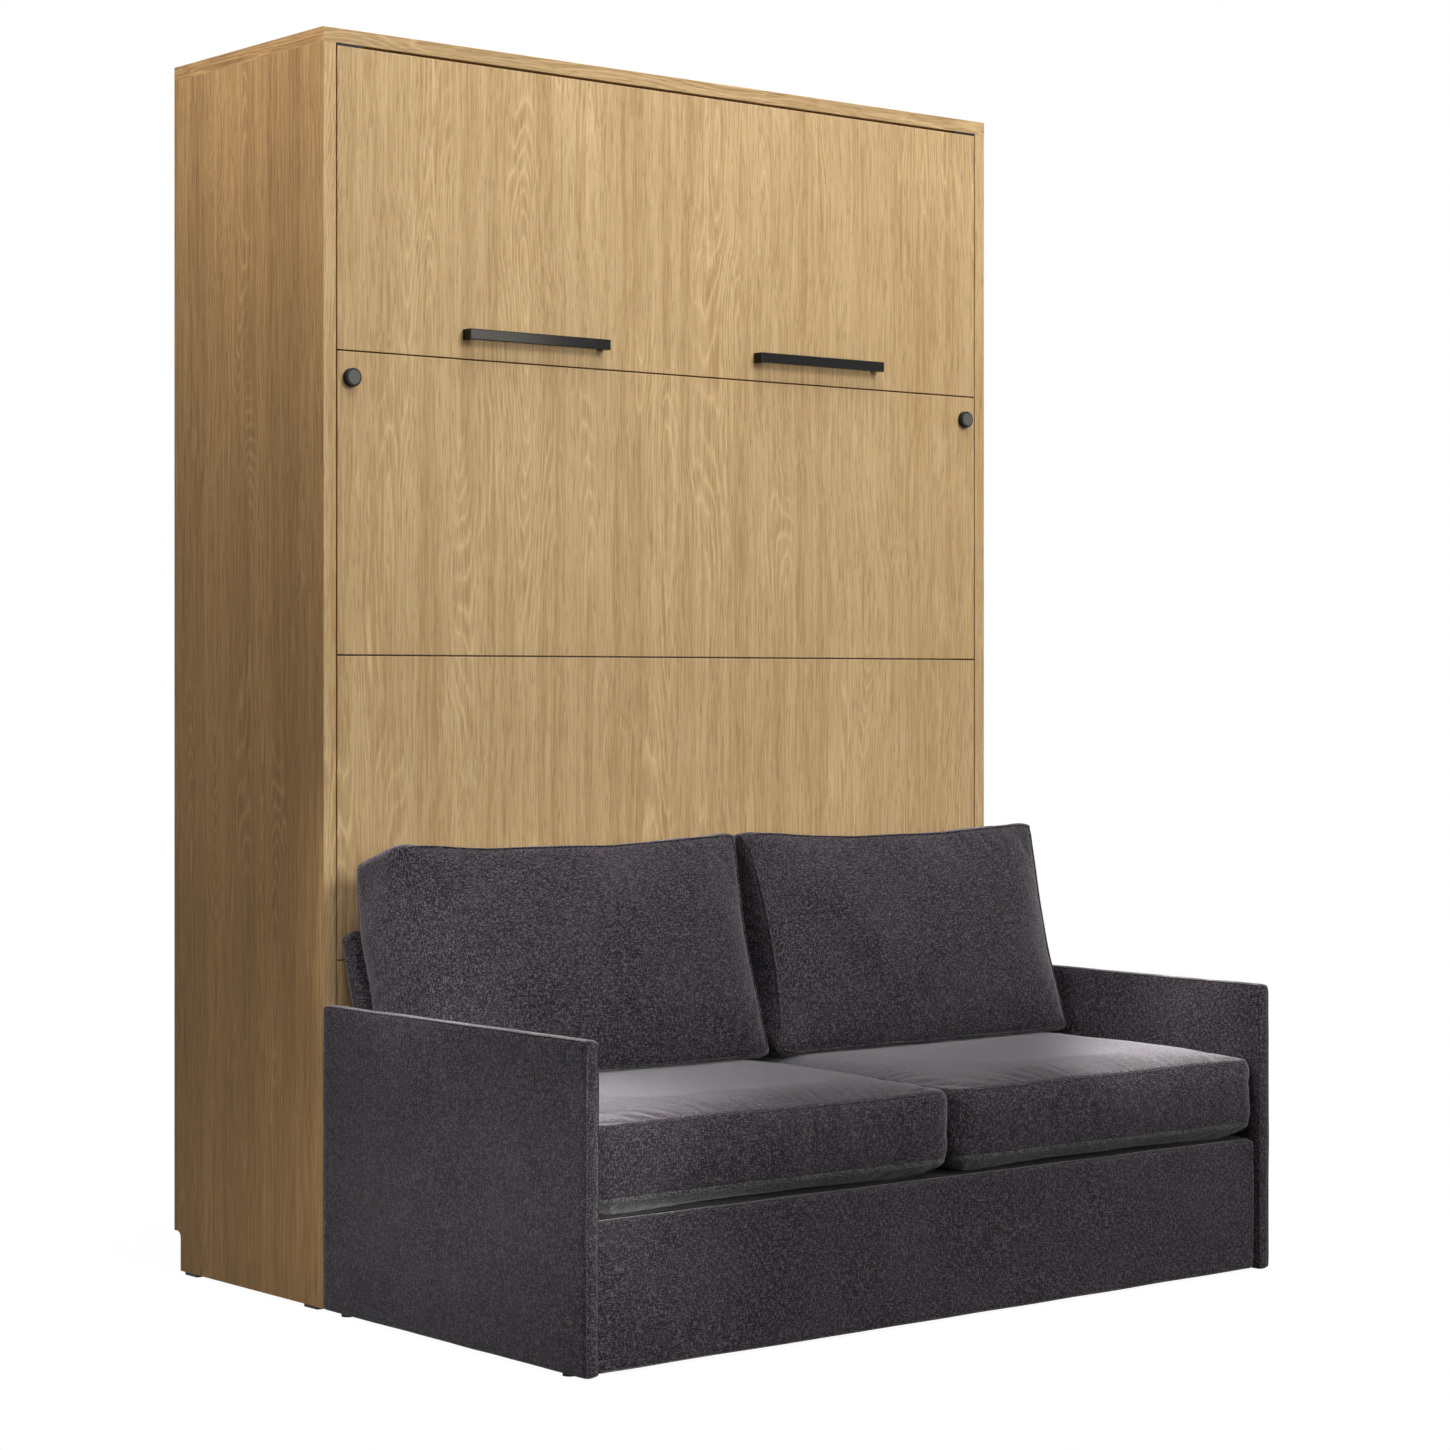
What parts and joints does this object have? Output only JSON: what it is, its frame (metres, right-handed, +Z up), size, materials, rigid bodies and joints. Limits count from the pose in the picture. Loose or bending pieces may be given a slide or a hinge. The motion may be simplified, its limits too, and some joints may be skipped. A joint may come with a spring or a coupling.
{
  "type": "wall bed with sofa",
  "caption": "Upright fold-down double bed in an oak cabinet, with a charcoal two-seat sofa in front, a folding backrest, gas springs and pull-out legs.",
  "frame": {"origin": "on the floor, under the middle of the whole piece of furniture", "axes": "+X to the right seen from the room, +Y towards the wall, +Z up"},
  "size_m": [1.552, 1.245, 2.18],
  "materials": {
    "oak": "light oak decor with a fine grain",
    "case_oak": "light oak decor with an upright grain",
    "pale_board": "plain pale board",
    "birch": "layered birch with a clear lacquer",
    "graphite_steel": "dark grey powder coat",
    "black_plastic": "matt black",
    "black_metal": "satin black lacquer",
    "zinc": "zinc plated",
    "bright_rod": "ground and chromed",
    "bronze": "plain bearing bronze",
    "upholstery": "charcoal woven fabric",
    "ticking": "off-white quilted ticking",
    "webbing": "black woven webbing",
    "felt": "black felt over the plywood deck"
  },
  "bodies": {
    "cabinet_and_sofa": {"side_panel_left": "case_oak", "side_panel_right": "case_oak", "top_panel": "oak", "plinth_board": "oak", "back_panels": "pale_board", "rear_rails": "pale_board", "cabinet_glides": "black_plastic", "top_bumpers": "black_plastic", "closing_stops": "black_plastic", "pivot_plates": "zinc", "pivot_pins": "bright_rod", "strut_anchors": "graphite_steel", "sofa_arm_left": "upholstery", "sofa_arm_right": "upholstery", "seat_front_board": "upholstery", "seat_rear_board": "birch", "seat_deck": "felt", "seat_bearers": "birch", "seat_ledgers": "birch", "seat_cushion_left": "upholstery", "seat_cushion_right": "upholstery", "sofa_glides": "black_plastic", "sofa_connector_bolts": "zinc", "backrest_bushes": "black_plastic"},
    "bed": {"door_panel_bottom": "oak", "door_panel_lower": "oak", "door_panel_upper": "oak", "door_panel_top": "oak", "door_battens": "pale_board", "handle_bars": "black_metal", "handle_posts": "black_metal", "bed_rail_left": "graphite_steel", "bed_rail_right": "graphite_steel", "bed_cross_tubes": "graphite_steel", "centre_beam": "graphite_steel", "slats": "birch", "slat_holders": "black_plastic", "rail_caps": "black_plastic", "side_boards": "case_oak", "end_boards": "case_oak", "mattress": "ticking", "mattress_straps": "webbing", "lever_plates": "graphite_steel", "lever_pins": "zinc", "pivot_bushes": "bronze", "leg_guides": "graphite_steel"},
    "backrest": {"backrest_board": "birch", "backrest_pad": "upholstery", "backrest_pins": "zinc"},
    "leg_left": {"leg_tube_left": "graphite_steel", "leg_pad_left": "black_plastic"},
    "strut_cylinder_left": {"strut_cylinder_left": "black_metal"},
    "strut_rod_left": {"strut_rod_left": "bright_rod"},
    "back_cushion_left": {"back_cushion_left": "upholstery"},
    "leg_right": {"leg_tube_right": "graphite_steel", "leg_pad_right": "black_plastic"},
    "strut_cylinder_right": {"strut_cylinder_right": "black_metal"},
    "strut_rod_right": {"strut_rod_right": "bright_rod"},
    "back_cushion_right": {"back_cushion_right": "upholstery"}
  },
  "joints": [
    {"name": "bed_fold", "type": "hinge", "parent": "cabinet_and_sofa", "child": "bed", "pos_m": [0, 0.1725, 0.49], "axis": [1, 0, 0], "range_deg": [0, 90]},
    {"name": "leg_slide_left", "type": "slide", "parent": "bed", "child": "leg_left", "axis": [0, -1, 0], "range_m": [0, 0.4294]},
    {"name": "leg_slide_right", "type": "slide", "parent": "bed", "child": "leg_right", "axis": [0, -1, 0], "range_m": [0, 0.4294]},
    {"name": "backrest_fold", "type": "hinge", "parent": "cabinet_and_sofa", "child": "backrest", "pos_m": [0, 0.04369, 0.4265], "axis": [1, 0, 0], "range_deg": [0, 107.5]},
    {"name": "strut_swing_left", "type": "hinge", "parent": "cabinet_and_sofa", "child": "strut_cylinder_left", "pos_m": [-0.717, 0.2925, 0.89], "axis": [1, 0, 0], "range_deg": [0, 8.58]},
    {"name": "strut_stroke_left", "type": "slide", "parent": "strut_cylinder_left", "child": "strut_rod_left", "axis": [0, 0.1432, 0.9897], "range_m": [0, 0.17205]},
    {"name": "strut_swing_right", "type": "hinge", "parent": "cabinet_and_sofa", "child": "strut_cylinder_right", "pos_m": [0.717, 0.2925, 0.89], "axis": [1, 0, 0], "range_deg": [0, 8.58]},
    {"name": "strut_stroke_right", "type": "slide", "parent": "strut_cylinder_right", "child": "strut_rod_right", "axis": [0, 0.1432, 0.9897], "range_m": [0, 0.17205]},
    {"name": "cushion_lift_left", "type": "hinge", "parent": "cabinet_and_sofa", "child": "back_cushion_left", "pos_m": [0, -0.6295, 0.402], "axis": [1, 0, 0], "range_deg": [0, 180]},
    {"name": "cushion_lift_right", "type": "hinge", "parent": "cabinet_and_sofa", "child": "back_cushion_right", "pos_m": [0, -0.6295, 0.402], "axis": [1, 0, 0], "range_deg": [0, 180]}
  ],
  "couplings": [
    {"joint": "backrest_fold", "follows": "bed_fold", "ratio": 1.1944},
    {"joint": "strut_swing_left", "follows": "bed_fold", "ratio": 0.095329},
    {"joint": "strut_stroke_left", "follows": "bed_fold", "m_per_rad": 0.10953},
    {"joint": "strut_swing_right", "follows": "bed_fold", "ratio": 0.095329},
    {"joint": "strut_stroke_right", "follows": "bed_fold", "m_per_rad": 0.10953},
    {"joint": "cushion_lift_left", "follows": "bed_fold", "ratio": 2},
    {"joint": "cushion_lift_right", "follows": "bed_fold", "ratio": 2}
  ]
}
